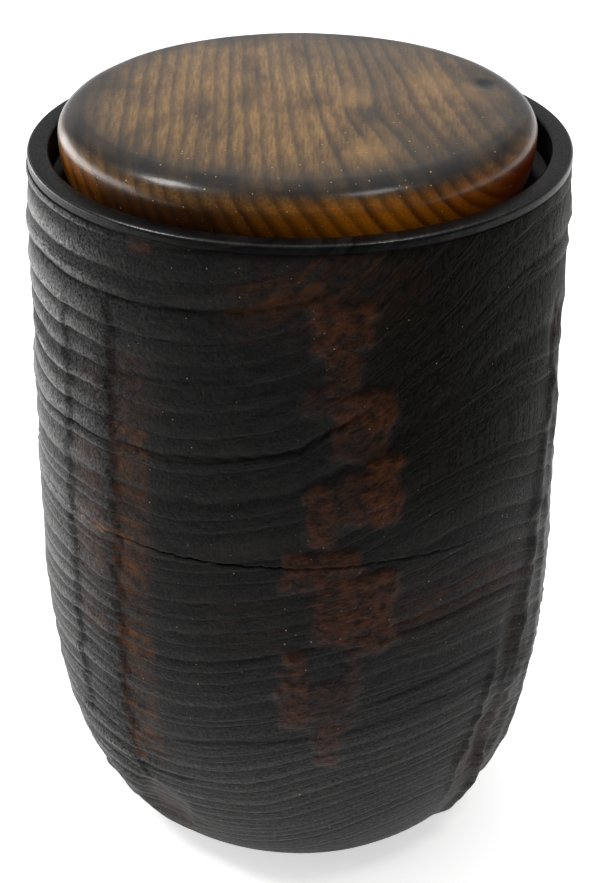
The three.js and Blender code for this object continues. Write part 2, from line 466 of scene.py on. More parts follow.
def pot_mesh(around, lower_rows, upper_rows):
    """The pot before its grain is brushed out, with what the grain and the finish need."""
    angles = np.linspace(-np.pi, np.pi, around, endpoint=False)
    heights = wall_heights(lower_rows, upper_rows)
    foot = [(FOOT_RADIUS * 0.35, 0.0), (FOOT_RADIUS * 0.7, 0.0), (FOOT_RADIUS * 0.95, 0.0)]
    wall = [(float(pot_radius(z)), z) for z in heights]
    outline = np.array(foot + wall + lip_and_chamber())
    rows, columns = len(outline), around
    radius = np.repeat(outline[:, 0], columns)
    z = np.repeat(outline[:, 1], columns)
    phi = np.tile(angles, rows)
    row = np.repeat(np.arange(rows), columns)
    on_wall = (row >= len(foot)) & (row < len(foot) + len(wall))

    # Distance along the wall from the middle of the front, at the rim's radius.
    turn = (phi + np.pi / 2 + np.pi) % (2 * np.pi) - np.pi
    along = RIM_RADIUS * turn
    # Rows next to the crack follow it.
    near = np.exp(-((z - CRACK_HEIGHT) / 4) ** 2) * on_wall
    z = z + near * (crack_line(along) - CRACK_HEIGHT)

    turned = np.stack([radius * np.cos(phi), radius * np.sin(phi), z], axis=1)
    slope = np.gradient(pot_radius(np.clip(heights, 0.3, None)), heights)
    slope = np.concatenate([np.full(len(foot), 9.0), slope, np.zeros(rows - len(foot) - len(wall))])
    slope = np.repeat(np.clip(slope, 0, 9), columns)
    outward = np.stack([np.cos(phi), np.sin(phi), -slope], axis=1)
    outward /= np.linalg.norm(outward, axis=1, keepdims=True)

    # Everything fades out at the turned lip and at the flat foot.
    worked = on_wall * smooth(0.2, 3.5, z) * (1 - smooth(POT_HEIGHT - 1.7, POT_HEIGHT - 0.9, z))
    points = turned.tolist()
    inside, red = bark_patch(along, z, points)
    inside *= worked
    red *= worked
    crumbly = wobble(points, 1.1, 9)
    height = -LEAN * np.cos(phi) * np.sin(np.pi * np.clip(z / POT_HEIGHT, 0, 1))
    height += 0.12 * wobble(points, 16, 10)
    facets, shadow = facet_depth(along, z, points)
    grooves = groove_line(along, z)
    height -= facets + GROOVE_CUT * grooves
    # Painted shade: the feet of the facets and the grooves are darkened in colour.
    shadow = np.maximum(0.55 * shadow, grooves)
    crests, hollow = rough_edge(along, z, points)
    height += crests
    height += inside * (BARK_HEIGHT + 0.24 * crumbly)

    far = np.abs(z - crack_line(along))
    run = smooth(CRACK_LEFT, CRACK_LEFT + 12, along) * (1 - smooth(CRACK_RIGHT - 26, CRACK_RIGHT, along))
    gape = run * np.clip(0.65 + 1.1 * wobble(points, 0.9, 11), 0.15, 1)
    gape *= 1 - 0.75 * smooth(-14, 0, along)
    crack = gape * (1 - smooth(CRACK_HALF_WIDTH * 0.5, CRACK_HALF_WIDTH * 2.2, far))
    height -= CRACK_DEPTH * crack
    height += 0.1 * run * np.exp(-((far - 0.5) / 0.3) ** 2)
    chip = (1 - smooth(0.35, 0.85, far)) * soft_box(along, z, CHIPS_LEFT, 55, CHIPS_RIGHT, 70, 1)
    chip *= smooth(0.0, 0.35, wobble(points, 1.6, 12)) * (1 - crack)

    rubbed = np.zeros(len(z))
    for left, bottom, right, top, softness, amount in RUBBED:
        rubbed = np.maximum(rubbed, amount * soft_box(along, z, left, bottom, right, top, softness))
    rubbed = np.maximum(rubbed, 0.3 * hollow)
    rubbed *= 0.75 + 0.5 * wobble(points, 2.2, 13)
    grain = grain_height(along, z) * worked * (1 - 0.8 * inside) * (1 - 0.85 * hollow)

    # The black is thickest and olive-tinged high on the right, and shines most on the left.
    olive = smooth(2, 16, along) * (1 - smooth(60, 80, along)) * smooth(62, 78, z)
    sheen = (1 - smooth(-54, -24, along)) + 0.8 * smooth(40, 60, along) * (1 - 0.6 * smooth(74, 86, z))
    sheen += 0.4 * (1 - smooth(10, 60, z))
    sheen *= 1 - 0.65 * smooth(66, 92, np.abs(along))
    # The lip's outer edge shines, and the groove under it, the lip's top and the mouth inside get painted
    # shade.
    lip_row = row - len(foot) - len(wall)
    shining = (lip_row >= LIP_SHINE_FROM) & (lip_row <= LIP_SHINE_TO)
    rim_sheen = 0.6 * shining + 0.04 * (lip_row >= 1)
    lip_painted_shade = (lip_row < 1) * smooth(POT_HEIGHT - 2.9, POT_HEIGHT - 1.6, z) + (lip_row > LIP_SHINE_TO)

    placed = turned + outward * (height * worked)[:, None]
    mesh = turned_mesh("body_plain", (placed * MM).reshape(rows, columns, 3))
    ends = [0.0, 0.0]
    fields = {
        "level": ring_level(turned[:, 0], z),
        "grain": grain,
        "bark": red,
        "rubbed": rubbed * worked,
        "crack": crack * worked,
        "chip": chip * worked,
        "worked": worked,
        "shadow": np.maximum(shadow * worked, 0.4 * lip_painted_shade),
        "olive": olive * worked,
        "sheen": np.clip(sheen, 0, 1) * worked + rim_sheen,
    }
    for name, values in fields.items():
        store(mesh, name, np.append(values, ends))
    return mesh


def ring_profile(add, ring, rise):
    """Nodes for one growth ring's cross-section: a steep hard edge, then a long soft slope."""
    part = add("Math", ring, operation="FRACT")
    edge = add("MapRange", {"Value": part, "From Max": rise}, interpolation_type="SMOOTHSTEP")
    rest = add("Math", 1.0, part, operation="SUBTRACT")
    slope = add("Math", rest, 2.6, operation="POWER")
    return add("Math", edge, slope, operation="MULTIPLY")


def brushed_grain_tree(material):
    """Geometry nodes that brush the soft wood away between the hard growth rings."""
    tree = bpy.data.node_groups.new("Brushed growth rings", "GeometryNodeTree")
    tree.is_modifier = True
    add = partial(add_node, tree)
    sockets = (
        ("Geometry", "NodeSocketGeometry"),
        ("Ring width at the foot", "NodeSocketFloat"),
        ("Widening with height", "NodeSocketFloat"),
        ("Waviness", "NodeSocketFloat"),
        ("Relief", "NodeSocketFloat"),
        ("Seed", "NodeSocketFloat"),
    )
    for name, kind in sockets:
        tree.interface.new_socket(name, in_out="INPUT", socket_type=kind)
    tree.interface.new_socket("Geometry", in_out="OUTPUT", socket_type="NodeSocketGeometry")
    given = add("NodeGroupInput").outputs

    # Ring number from the level, whose rings widen with height, with a slow and a fine wave.
    level = add("GeometryNodeInputNamedAttribute", "level", data_type="FLOAT")
    place = add("GeometryNodeInputPosition")
    sizes = ((28.0, 1.6), (7.0, 0.34))
    for size, share in sizes:
        wave = add("TexNoise", place, given["Seed"], 1 / (size * MM), 1.0, noise_dimensions="4D")
        centred = add("Math", wave, 0.5, operation="SUBTRACT")
        scaled = add("Math", centred, given["Waviness"], operation="MULTIPLY")
        level = add("Math", scaled, 2 * share, level, operation="MULTIPLY_ADD")
    year = add("TexNoise", level, 0.22, noise_dimensions="1D")
    centred = add("Math", year, 0.5, operation="SUBTRACT")
    scaled = add("Math", centred, given["Waviness"], operation="MULTIPLY")
    level = add("Math", scaled, 5.0, level, operation="MULTIPLY_ADD")
    width = add(
        "Math", level, given["Widening with height"], given["Ring width at the foot"],
        operation="MULTIPLY_ADD",
    )
    width = add("Math", width, 0.2, operation="MAXIMUM")
    grown = add("Math", width, math.e, operation="LOGARITHM")
    ring = add("Math", grown, given["Widening with height"], operation="DIVIDE")

    # Each ring stands out by its own amount.
    profile = ring_profile(add, ring, 0.16)
    number = add("Math", ring, operation="FLOOR")
    chance = add("TexWhiteNoise", number, noise_dimensions="1D")
    uneven = add("MapRange", {"Value": chance, "To Min": 0.1, "To Max": 1.6})
    height = add("GeometryNodeInputNamedAttribute", "grain", data_type="FLOAT")
    height = add("Math", height, given["Relief"], operation="MULTIPLY")
    height = add("Math", height, uneven, operation="MULTIPLY")
    height = add("Math", height, profile, operation="MULTIPLY")
    height = add("Math", height, MM, operation="MULTIPLY")
    normal = add("GeometryNodeInputNormal")
    offset = add("VectorMath", normal, height, operation="SCALE")
    kept = add(
        "GeometryNodeStoreNamedAttribute",
        {"Geometry": given["Geometry"], "Name": "ring", "Value": ring}, data_type="FLOAT",
    )
    moved = add("GeometryNodeSetPosition", {"Geometry": kept, "Offset": offset})
    real = add("GeometryNodeRealizeInstances", moved)
    finish = add("GeometryNodeSetMaterial", {"Geometry": real, "Material": material})
    add("NodeGroupOutput", finish)
    return tree


def through_nodes(piece, tree, values):
    """Runs a mesh through a geometry tree once and keeps the plain result."""
    modifier = piece.modifiers.new("Worked by rule", "NODES")
    modifier.node_group = tree
    for item in tree.interface.items_tree:
        if item.item_type == "SOCKET" and item.in_out == "INPUT" and item.name in values:
            modifier[item.identifier] = values[item.name]
    depsgraph = bpy.context.evaluated_depsgraph_get()
    worked = piece.evaluated_get(depsgraph)
    mesh = bpy.data.meshes.new_from_object(worked, preserve_all_data_layers=True, depsgraph=depsgraph)
    if not mesh.polygons:
        raise RuntimeError(f"{piece.name} came out of its geometry nodes empty")
    piece.modifiers.remove(modifier)
    piece.data = mesh


# ---- The lid's shape --------------------------------------------------------------------


def lid_outline():
    """Outline (radius, height) of the lid, from its dished underside up and over its crown."""
    seat = LID_BOTTOM + SPIGOT_HEIGHT
    widest = POT_HEIGHT + LID_SHOULDER_START
    points = []
    for t in np.linspace(0.08, 1, 14):
        points.append((DISH_RADIUS * t, LID_BOTTOM + DISH_DEPTH * (1 + math.cos(math.pi * t)) / 2))
    edge = (SPIGOT_RADIUS - SPIGOT_EDGE, LID_BOTTOM + SPIGOT_EDGE)
    points += [(SPIGOT_RADIUS - 2.5, LID_BOTTOM)]
    points += arc(edge, (SPIGOT_EDGE, SPIGOT_EDGE), -90, 0, 5)
    points += [(SPIGOT_RADIUS, seat - 1.5), (SPIGOT_RADIUS, seat - 0.25), (SPIGOT_RADIUS + 0.2, seat)]
    for t in np.linspace(0.0, 1.0, 18)[:-1]:
        points.append((LID_RADIUS - LID_UNDERCUT * (1 - t) ** 2, seat + (widest - seat) * t))
    # The shoulder is rounded over, then the top rises very slightly to its middle.
    corner = (LID_RADIUS - LID_SHOULDER_WIDTH, widest)
    turn = (LID_SHOULDER_WIDTH, LID_TOP - LID_CROWN - widest)
    points += arc(corner, turn, 0, 86, 34)
    inner, height = points[-1]
    for t in np.linspace(1, 0.02, 26)[1:]:
        points.append((inner * t, height + (LID_TOP - height) * (1 - t ** 2)))
    return points


def lid_mesh(around):
    """The turned lid, with the faint unevenness of a shape finished by hand."""
    outline = np.array(lid_outline())
    angles = np.linspace(-np.pi, np.pi, around, endpoint=False)
    radius = np.repeat(outline[:, 0], around)
    z = np.repeat(outline[:, 1], around)
    phi = np.tile(angles, len(outline))
    points = np.stack([radius * np.cos(phi), radius * np.sin(phi), z], axis=1)
    upper = smooth(POT_HEIGHT - 4, POT_HEIGHT + 1, z)
    uneven = 0.07 * wobble(points.tolist(), 14, 20) + 0.025 * wobble(points.tolist(), 4, 21)
    points[:, 2] += upper * uneven
    # A small sunken knot near the right-hand edge of the top.
    away = np.hypot(points[:, 0] - LID_KNOT[0], (points[:, 1] - LID_KNOT[1]) * 0.6)
    points[:, 2] -= 0.4 * upper * (1 - smooth(0.3, 1.6, away))
    points[:, 0] += LID_CENTRE
    return turned_mesh("lid", (points * MM).reshape(len(outline), around, 3))


# ---- Finishes ---------------------------------------------------------------------------


def new_material(name):
    """A new material, with its node tree and its one shader."""
    material = bpy.data.materials.new(name)
    material.use_nodes = True
    tree = material.node_tree
    shader = tree.nodes["Principled BSDF"]
    return material, tree, shader


def millimetres(add):
    """The point being shaded, in millimetres in the piece's own frame."""
    place = add("TexCoord").outputs["Object"]
    return add("VectorMath", place, 1 / MM, operation="SCALE")


def blackened_wood(look):
    """Ring-porous wood, blackened, wire-brushed along the grain and lacquered thin.

    To the eye: near-black hollows, slightly greyer and shinier ring edges, fine pores, and
    red-brown wood wherever the black is rubbed away or bark is left.
    """
    material, tree, shader = new_material("blackened brushed wood")
    add = partial(add_node, tree)
    place = millimetres(add)
    names = "ring", "bark", "rubbed", "crack", "chip", "worked", "grain", "olive", "sheen", "shadow"
    named = {name: add("Attribute", attribute_name=name).outputs["Fac"] for name in names}

    # Hard ring edges, and the finer lines that brushing raises between them: streaks drawn
    # out along each ring, and pits where the pores end.
    unsteady = add("Math", add("TexNoise", place, 1 / 1.7, 2.0), 0.5, operation="SUBTRACT")
    named["ring"] = add("Math", unsteady, 0.16, named["ring"], operation="MULTIPLY_ADD")
    edge = ring_profile(add, named["ring"], 0.14)
    seam = add("MapRange", add("Math", named["ring"], operation="FRACT"), 0.84, 1.0)
    number = add("Math", add("Math", named["ring"], 0.5, operation="ADD"), operation="FLOOR")
    chance = add("TexWhiteNoise", number, noise_dimensions="1D")
    seam = add("Math", seam, add("MapRange", chance, 0.3, 0.8), operation="MULTIPLY")
    split = add("SeparateXYZ", place)
    ringwise = add(
        "CombineXYZ", add("Math", named["ring"], 5.0, operation="MULTIPLY"),
        add("Math", split.outputs[0], 0.3, operation="MULTIPLY"),
        add("Math", split.outputs[1], 0.3, operation="MULTIPLY"),
    )
    lines = add("TexNoise", ringwise, 1.0, 3.0)
    hatch = add(
        "CombineXYZ", add("Math", named["ring"], 7.0, operation="MULTIPLY"),
        add("Math", split.outputs[0], 1.3, operation="MULTIPLY"),
        add("Math", split.outputs[1], 1.3, operation="MULTIPLY"),
    )
    pores = add("MapRange", add("TexNoise", hatch, 1.0, 2.0), 0.36, 0.52)
    pits = add("MapRange", add("TexNoise", place, 1 / 0.6, 3.0), 0.3, 0.42)
    grit = add("TexNoise", place, 1 / 0.4, 3.0)
    patchy = add("TexNoise", place, 1 / 7, 3.0)
    lumps = add("TexNoise", place, 1 / 1.5, 4.0)

    # Colour: soot-black wood, greyer on the ring edges, olive where the black is thickest.
    lift = add("Math", edge, add("MapRange", patchy, 0.3, 0.7, 0.2, 1.0), operation="MULTIPLY")
    lift = add("Math", add("MapRange", lines, 0.4, 0.7), 0.35, lift, operation="MULTIPLY_ADD")
    colour = add("Mix", lift, linear(look.soot), linear(look.ring_edge), data_type="RGBA")
    thick = add("Math", named["olive"], 0.95, operation="MULTIPLY")
    colour = add("Mix", thick, colour, linear(look.thick_black), data_type="RGBA")
    # Red-brown where rubbed, in blocks between the rings.
    number = add("Math", add("Math", named["ring"], 0.15, operation="ADD"), operation="FLOOR")
    chance = add("TexWhiteNoise", number, noise_dimensions="1D")
    block = add("MapRange", add("Math", edge, -0.35, lumps, operation="MULTIPLY_ADD"), 0.22, 0.5)
    block = add("Math", block, add("MapRange", chance, 0.25, 0.7, 0.3, 1.0), operation="MULTIPLY")
    amount = add("Math", named["rubbed"], block, operation="MULTIPLY")
    amount = add("Math", amount, add("MapRange", lines, 0.3, 0.6, 0.5, 1.0), operation="MULTIPLY")
    colour = add("Mix", amount, colour, linear(look.rubbed_wood), data_type="RGBA")
    # Bark: a lumpy red-brown crust, darker in its hollows.
    crust = add(
        "Mix", add("MapRange", lumps, 0.38, 0.66), linear(look.bark_pit), linear(look.bark),
        data_type="RGBA",
    )
    amount = add(
        "Math", named["bark"], add("MapRange", patchy, 0.3, 0.6, 0.75, 1.0), operation="MULTIPLY"
    )
    amount = add("Math", amount, add("MapRange", lines, 0.3, 0.55, 0.55, 1.0), operation="MULTIPLY")
    colour = add("Mix", amount, colour, crust, data_type="RGBA")
    colour = add("Mix", named["chip"], colour, linear(look.fresh_wood), data_type="RGBA")
    # Dust caught in the brushed grain.
    cells = {"Vector": place, "Scale": 1.0, "Randomness": 1.0}
    specks = add("TexVoronoi", cells)
    size = add("MapRange", specks.outputs["Color"], 0.45, 1.0, 0.0, 0.13)
    dust = add("Math", specks.outputs["Distance"], size, operation="LESS_THAN")
    dust = add("Math", dust, add("MapRange", patchy, 0.45, 0.5), operation="MULTIPLY")
    dust = add("Math", dust, named["worked"], operation="MULTIPLY")
    colour = add(
        "Mix", add("Math", dust, 0.7, operation="MULTIPLY"), colour, linear(look.dust), data_type="RGBA"
    )
    # Painted shade: the crack, the grooves, the feet of the facets, the groove under the lip, the lip's
    # top and the mouth inside are darkened towards black.
    dark = add(
        "Math", named["crack"], add("Math", named["shadow"], 0.8, operation="MULTIPLY"),
        operation="MAXIMUM",
    )
    colour = add("Mix", dark, colour, linear("#020202"), data_type="RGBA")

    # Gloss: lacquer thin enough to shine on the ring edges and stay matt in the hollows.
    gloss = add("MapRange", edge, 0.0, 0.8, look.hollow_roughness, look.edge_roughness)
    gloss = add("Math", named["sheen"], -0.12, gloss, operation="MULTIPLY_ADD")
    lip = add("MapRange", named["worked"], 0.0, 0.6, 0.48, 1.0)
    gloss = add("Math", gloss, lip, operation="MULTIPLY")
    ridge = add("Math", named["grain"], 3.4, 0.3, operation="MULTIPLY_ADD")
    between = add("Math", named["grain"], -1.3, 0.75, operation="MULTIPLY_ADD")
    crest = add("Math", edge, ridge, between, operation="MULTIPLY_ADD")
    crest = add("Math", crest, named["sheen"], operation="MULTIPLY")
    shine = add("Math", crest, look.left_shine, look.shine, operation="MULTIPLY_ADD")
    sparkle = add("Math", named["grain"], 0.6, 1.2, operation="MULTIPLY_ADD")
    sparkle = add(
        "MapRange", grit, 0.35, 0.65, add("Math", 1.75, sparkle, operation="SUBTRACT"), sparkle
    )
    shine = add("Math", shine, sparkle, operation="MULTIPLY")
    shine = add("Math", shine, add("MapRange", seam, 0.0, 1.0, 1.0, 0.35), operation="MULTIPLY")
    combings = add("MapRange", pores, 0.0, 1.0, 0.22, 0.5)
    shine = add(
        "Math", shine, add("MapRange", named["olive"], 0.0, 1.0, 1.0, combings), operation="MULTIPLY"
    )
    shine = add("Math", shine, add("MapRange", dark, 0.0, 0.8, 1.0, 0.0), operation="MULTIPLY")

    # Relief too fine for the mesh: ring lines, pores, pits and crumbly bark.
    depth = add("Math", named["grain"], 0.5, 0.025, operation="MULTIPLY_ADD")
    relief = add("Math", edge, depth, operation="MULTIPLY")
    combed = add("Math", named["grain"], 0.5, 0.1, operation="MULTIPLY_ADD")
    combed = add("Math", named["olive"], 0.16, combed, operation="MULTIPLY_ADD")
    relief = add("Math", lines, combed, relief, operation="MULTIPLY_ADD")
    relief = add("Math", pores, 0.035, relief, operation="MULTIPLY_ADD")
    pitted = add("Math", named["grain"], 0.06, 0.02, operation="MULTIPLY_ADD")
    relief = add("Math", pits, pitted, relief, operation="MULTIPLY_ADD")
    gritty = add("Math", named["grain"], 0.02, 0.045, operation="MULTIPLY_ADD")
    relief = add("Math", grit, gritty, relief, operation="MULTIPLY_ADD")
    crumbs = add("Math", lumps, named["bark"], operation="MULTIPLY")
    relief = add("Math", crumbs, 0.9, relief, operation="MULTIPLY_ADD")
    relief = add(
        "Math", relief, add("MapRange", named["worked"], 0.0, 1.0, 0.08, 1.0), operation="MULTIPLY"
    )
    bump = add("Bump", {"Height": relief, "Distance": MM, "Strength": 1.0})
    fill(tree, shader, {
        "Base Color": colour,
        "Roughness": gloss,
        "IOR": 1.5,
        "Specular IOR Level": shine,
        "Normal": bump,
    })
    shader.inputs["Specular IOR Level"].default_value = look.shine
    return material


def amber_lacquered_wood(look):
    """Coarse-ringed wood turned smooth and wiped with transparent brown lacquer.

    To the eye: amber and dark brown stripes under a satin coat, and nearly black round
    the shoulder.
    """
    material, tree, shader = new_material("amber lacquered turned wood")
    add = partial(add_node, tree)
    place = millimetres(add)
    split = add("SeparateXYZ", place)
    x = add("Math", split.outputs[0], LID_CENTRE, operation="SUBTRACT")
    y = split.outputs[1]
    z = add("Math", split.outputs[2], POT_HEIGHT, operation="SUBTRACT")

    # Distance from the heart of the tree, which lies beside and above the lid. The fibres run
    # front to back on the left and fan out on the right, round a swirl of figure.
    lean = add(
        "MapRange", {"Value": x, "From Min": -18.0, "From Max": 26.0, "To Max": 0.2},
        interpolation_type="SMOOTHSTEP",
    )
    across = add("Math", y, lean, x, operation="MULTIPLY_ADD")
    figure_x = add("Math", x, LID_FIGURE[0], operation="SUBTRACT")
    figure_y = add("Math", y, LID_FIGURE[1], operation="SUBTRACT")
    far = add("Math", figure_x, figure_x, operation="MULTIPLY")
    far = add(
        "Math", add("Math", figure_y, figure_y, operation="MULTIPLY"), 0.45, far,
        operation="MULTIPLY_ADD",
    )
    figure = add("Math", add("Math", far, -1 / 30, operation="MULTIPLY"), operation="EXPONENT")
    across = add("Math", figure, 1.3, across, operation="MULTIPLY_ADD")
    aside = add("Math", across, LID_PITH[0], operation="SUBTRACT")
    up = add("Math", z, LID_PITH[1], operation="SUBTRACT")
    flat = add("CombineXYZ", aside, up)
    distance = add("VectorMath", flat, operation="LENGTH")
    slow = add("TexNoise", add("Mapping", {"Vector": place, "Scale": (1.0, 0.35, 1.0)}), 1 / 16, 2.0)
    quick = add("TexNoise", add("Mapping", {"Vector": place, "Scale": (1.0, 0.25, 1.0)}), 1 / 2.2, 2.0)
    distance = add(
        "Math", add("Math", slow, 0.5, operation="SUBTRACT"), 2.2, distance, operation="MULTIPLY_ADD"
    )
    distance = add(
        "Math", add("Math", quick, 0.5, operation="SUBTRACT"), 0.35, distance, operation="MULTIPLY_ADD"
    )
    ring = add("Math", distance, LID_RING_WIDTH, operation="DIVIDE")
    part = add("Math", ring, operation="FRACT")
    dark = add("MapRange", part, 0.25, 0.78, interpolation_type="SMOOTHSTEP")
    edge = add("MapRange", part, 0.82, 1.0, 1.0, 0.0)
    late = add("Math", dark, edge, operation="MULTIPLY")
    number = add("Math", ring, operation="FLOOR")
    chance = add("TexWhiteNoise", number, noise_dimensions="1D")
    late = add("Math", late, add("MapRange", chance, 0, 1, 0.55, 1.0), operation="MULTIPLY")

    # Colour: amber between the rings, dark on them, and uneven as old lacquer is.
    streak = add("TexNoise", add("Mapping", {"Vector": place, "Scale": (1.0, 0.12, 1.0)}), 1 / 0.4, 3.0)
    cloud = add("TexNoise", add("Mapping", {"Vector": place, "Scale": (1.0, 0.4, 1.0)}), 1 / 5, 4.0)
    speckle = add("TexNoise", place, 1 / 0.35, 2.0)
    light = add(
        "Mix", add("MapRange", streak, 0.3, 0.7), linear(look.amber_deep), linear(look.amber),
        data_type="RGBA",
    )
    soft = add("Math", late, add("MapRange", speckle, 0.3, 0.7, 0.55, 1.0), operation="MULTIPLY")
    colour = add("Mix", soft, light, linear(look.late_wood), data_type="RGBA")
    # Partly painted light: the side's orange wood is set brighter, to stand in for light from the front.
    side = add("MapRange", z, 1.5, 5.0, 1.0, 0.0)
    red_side = add("Mix", soft, linear(look.side_amber_and_painted_light), linear(look.side_late), data_type="RGBA")
    redder = add(
        "Math", add("MapRange", x, -12.0, 8.0, 0.95, 0.0), add("MapRange", x, -34.0, -26.0, 0.6, 1.0),
        operation="MULTIPLY",
    )
    red_side = add("Mix", redder, red_side, linear(look.left_stain), data_type="RGBA")
    red_side = add(
        "Mix", add("MapRange", x, 12.0, 31.0, 0.0, 0.95), red_side, linear(look.right_stain),
        data_type="RGBA",
    )
    colour = add("Mix", side, colour, red_side, data_type="RGBA")
    # A darker stripe of heartwood right of the middle, with brighter figure beside it.
    stripe = add("Math", across, look.heartwood, operation="SUBTRACT")
    stripe = add("Math", stripe, stripe, operation="MULTIPLY")
    stripe = add("Math", add("Math", stripe, -1 / 26, operation="MULTIPLY"), operation="EXPONENT")
    stain = add("MapRange", cloud, 0.46, 0.66, 0.0, 0.55)
    stain = add("Math", stain, add("Math", stripe, 0.5, operation="MULTIPLY"), operation="MAXIMUM")
    stain = add("Math", stain, add("MapRange", x, -34.0, -27.0, 0.7, 0.0), operation="MAXIMUM")
    stain = add("Math", stain, add("MapRange", side, 0.0, 1.0, 1.0, 0.25), operation="MULTIPLY")
    colour = add("Mix", stain, colour, linear(look.heart_stain), data_type="RGBA")
    for right, back, radius, kind, amount in LID_MARKS:
        aside = add("Math", x, right, operation="SUBTRACT")
        ahead = add("Math", add("Math", y, back, operation="SUBTRACT"), 0.6, operation="MULTIPLY")
        offset = add("CombineXYZ", aside, ahead)
        far = add("VectorMath", offset, operation="LENGTH")
        far = add(
            "Math", add("Math", cloud, 0.5, operation="SUBTRACT"), radius, far, operation="MULTIPLY_ADD"
        )
        mark = add(
            "Math", add("MapRange", far, 0.3 * radius, 1.2 * radius, 1.0, 0.0), amount,
            operation="MULTIPLY",
        )
        mark = add("Math", mark, add("MapRange", side, 0.0, 1.0, 1.0, 0.0), operation="MULTIPLY")
        colour = add(
            "Mix", mark, colour, linear(look.figure if kind == "bright" else look.heart_stain),
            data_type="RGBA",
        )
    grain = add("MapRange", speckle, 0.35, 0.6, 0.22, 0.0)
    colour = add("Mix", grain, colour, linear("#1c120a"), data_type="RGBA")
    # Darker round the shoulder.
    shoulder = add(
        "Math", add("MapRange", z, 3.2, 4.9), add("MapRange", z, 6.45, 5.9), operation="MULTIPLY"
    )
    shoulder = add("Math", shoulder, add("MapRange", cloud, 0.25, 0.6, 0.75, 1.0), operation="MULTIPLY")
    colour = add(
        "Mix", add("Math", shoulder, look.shoulder, operation="MULTIPLY"), colour, linear("#0b0806"),
        data_type="RGBA",
    )
    # The knot and a few dark specks.
    knot_x = add("Math", x, LID_KNOT[0], operation="SUBTRACT")
    knot_y = add("Math", add("Math", y, LID_KNOT[1], operation="SUBTRACT"), 0.5, operation="MULTIPLY")
    knot = add("VectorMath", add("CombineXYZ", knot_x, knot_y), operation="LENGTH")
    knot = add("Math", quick, 2.2, knot, operation="MULTIPLY_ADD")
    knot = add("MapRange", knot, 2.1, 2.7, 1.0, 0.0)
    colour = add("Mix", knot, colour, linear("#070504"), data_type="RGBA")
    # Dust caught in the lacquer.
    cells = {"Vector": place, "Scale": 1 / 0.85, "Randomness": 1.0}
    specks = add("TexVoronoi", cells)
    size = add("MapRange", specks.outputs["Color"], 0.3, 1.0, 0.0, 0.17)
    dust = add("Math", specks.outputs["Distance"], size, operation="LESS_THAN")
    dusty = add("MapRange", y, -26.0, -12.0, 1.0, 0.12)
    gathered = add("TexNoise", place, 1 / 4.5, 2.0)
    gathered = add("Math", dusty, 0.28, gathered, operation="MULTIPLY_ADD")
    dust = add("Math", dust, add("Math", gathered, 0.67, operation="GREATER_THAN"), operation="MULTIPLY")
    colour = add("Mix", dust, colour, linear(look.dust), data_type="RGBA")

    gloss = add("MapRange", cloud, 0.3, 0.7, look.roughness - 0.04, look.roughness + 0.06)
    relief = add("Math", late, -0.015, operation="MULTIPLY")
    relief = add("Math", streak, 0.02, relief, operation="MULTIPLY_ADD")
    relief = add("Math", dust, 0.06, relief, operation="MULTIPLY_ADD")
    relief = add("Math", speckle, 0.035, relief, operation="MULTIPLY_ADD")
    bump = add("Bump", {"Height": relief, "Distance": MM, "Strength": 1.0})
    fill(tree, shader, {
        "Base Color": colour,
        "Roughness": gloss,
        "IOR": 1.5,
        "Specular IOR Level": 0.12,
        "Coat Weight": 0.38,
        "Coat Roughness": 0.2,
        "Normal": bump,
    })
    return material


def light_table():
    """A light table's white acrylic top: matt, nearly white, and glowing a little from below."""
    material, tree, shader = new_material("white acrylic light table")
    add = partial(add_node, tree)
    mottle = add("TexNoise", millimetres(add), 1 / 40, 2.0)
    colour = add("Mix", mottle, linear("#f4f4f3"), linear("#fafaf9"), data_type="RGBA")
    fill(tree, shader, {
        "Base Color": colour,
        "Roughness": 0.9,
        "Emission Color": linear("#ffffff"),
        "Emission Strength": 0.6,
    })
    return material


# ---- Settings ---------------------------------------------------------------------------


class CaddyPotSettings(bpy.types.PropertyGroup):
    """Sizes and colours of the blackened pot."""

    around: bpy.props.IntProperty(
        name="Faces round", description="Faces round the pot", default=360, min=48
    )
    lower_rows: bpy.props.IntProperty(
        name="Lower rows", description="Rows of faces up the rounded half", default=140, min=20
    )
    upper_rows: bpy.props.IntProperty(
        name="Upper rows", description="Rows of faces up the straight half", default=90, min=20
    )
    ring_width: bpy.props.FloatProperty(
        name="Ring width", description="Growth ring width at the foot, in millimetres", default=0.8
    )
    widening: bpy.props.FloatProperty(
        name="Widening", description="How much rings widen for each millimetre of height", default=0.033
    )
    waviness: bpy.props.FloatProperty(
        name="Waviness", description="How far the rings wander, in millimetres", default=1.0
    )
    relief: bpy.props.FloatProperty(
        name="Relief", description="Depth of the brushing, as a share of the usual", default=1.0
    )
    soot: bpy.props.StringProperty(
        name="Soot", description="Blackened wood in the hollows", default="#0c0c0d"
    )
    ring_edge: bpy.props.StringProperty(
        name="Ring edge", description="Wood on the ring edges", default="#242220"
    )
    rubbed_wood: bpy.props.StringProperty(
        name="Rubbed wood", description="Wood showing through", default="#533117"
    )
    bark: bpy.props.StringProperty(name="Bark", description="Bark left on the front", default="#502a12")
    bark_pit: bpy.props.StringProperty(
        name="Bark pits", description="Pits in the bark", default="#2a170c"
    )
    fresh_wood: bpy.props.StringProperty(
        name="Fresh wood", description="Chips beside the crack", default="#5c3822"
    )
    hollow_roughness: bpy.props.FloatProperty(
        name="Hollow roughness", description="Roughness between rings", default=0.62
    )
    edge_roughness: bpy.props.FloatProperty(
        name="Edge roughness", description="Roughness on ring edges", default=0.48
    )
    shine: bpy.props.FloatProperty(
        name="Shine", description="Strength of the lacquer's reflection", default=0.11
    )
    left_shine: bpy.props.FloatProperty(
        name="Shine at the sides", description="The same where it lies thicker", default=0.58
    )
    thick_black: bpy.props.StringProperty(
        name="Thick black", description="Black where it lies thickest", default="#0d0c07"
    )
    dust: bpy.props.StringProperty(name="Dust", description="Dust in the grain", default="#a89a80")


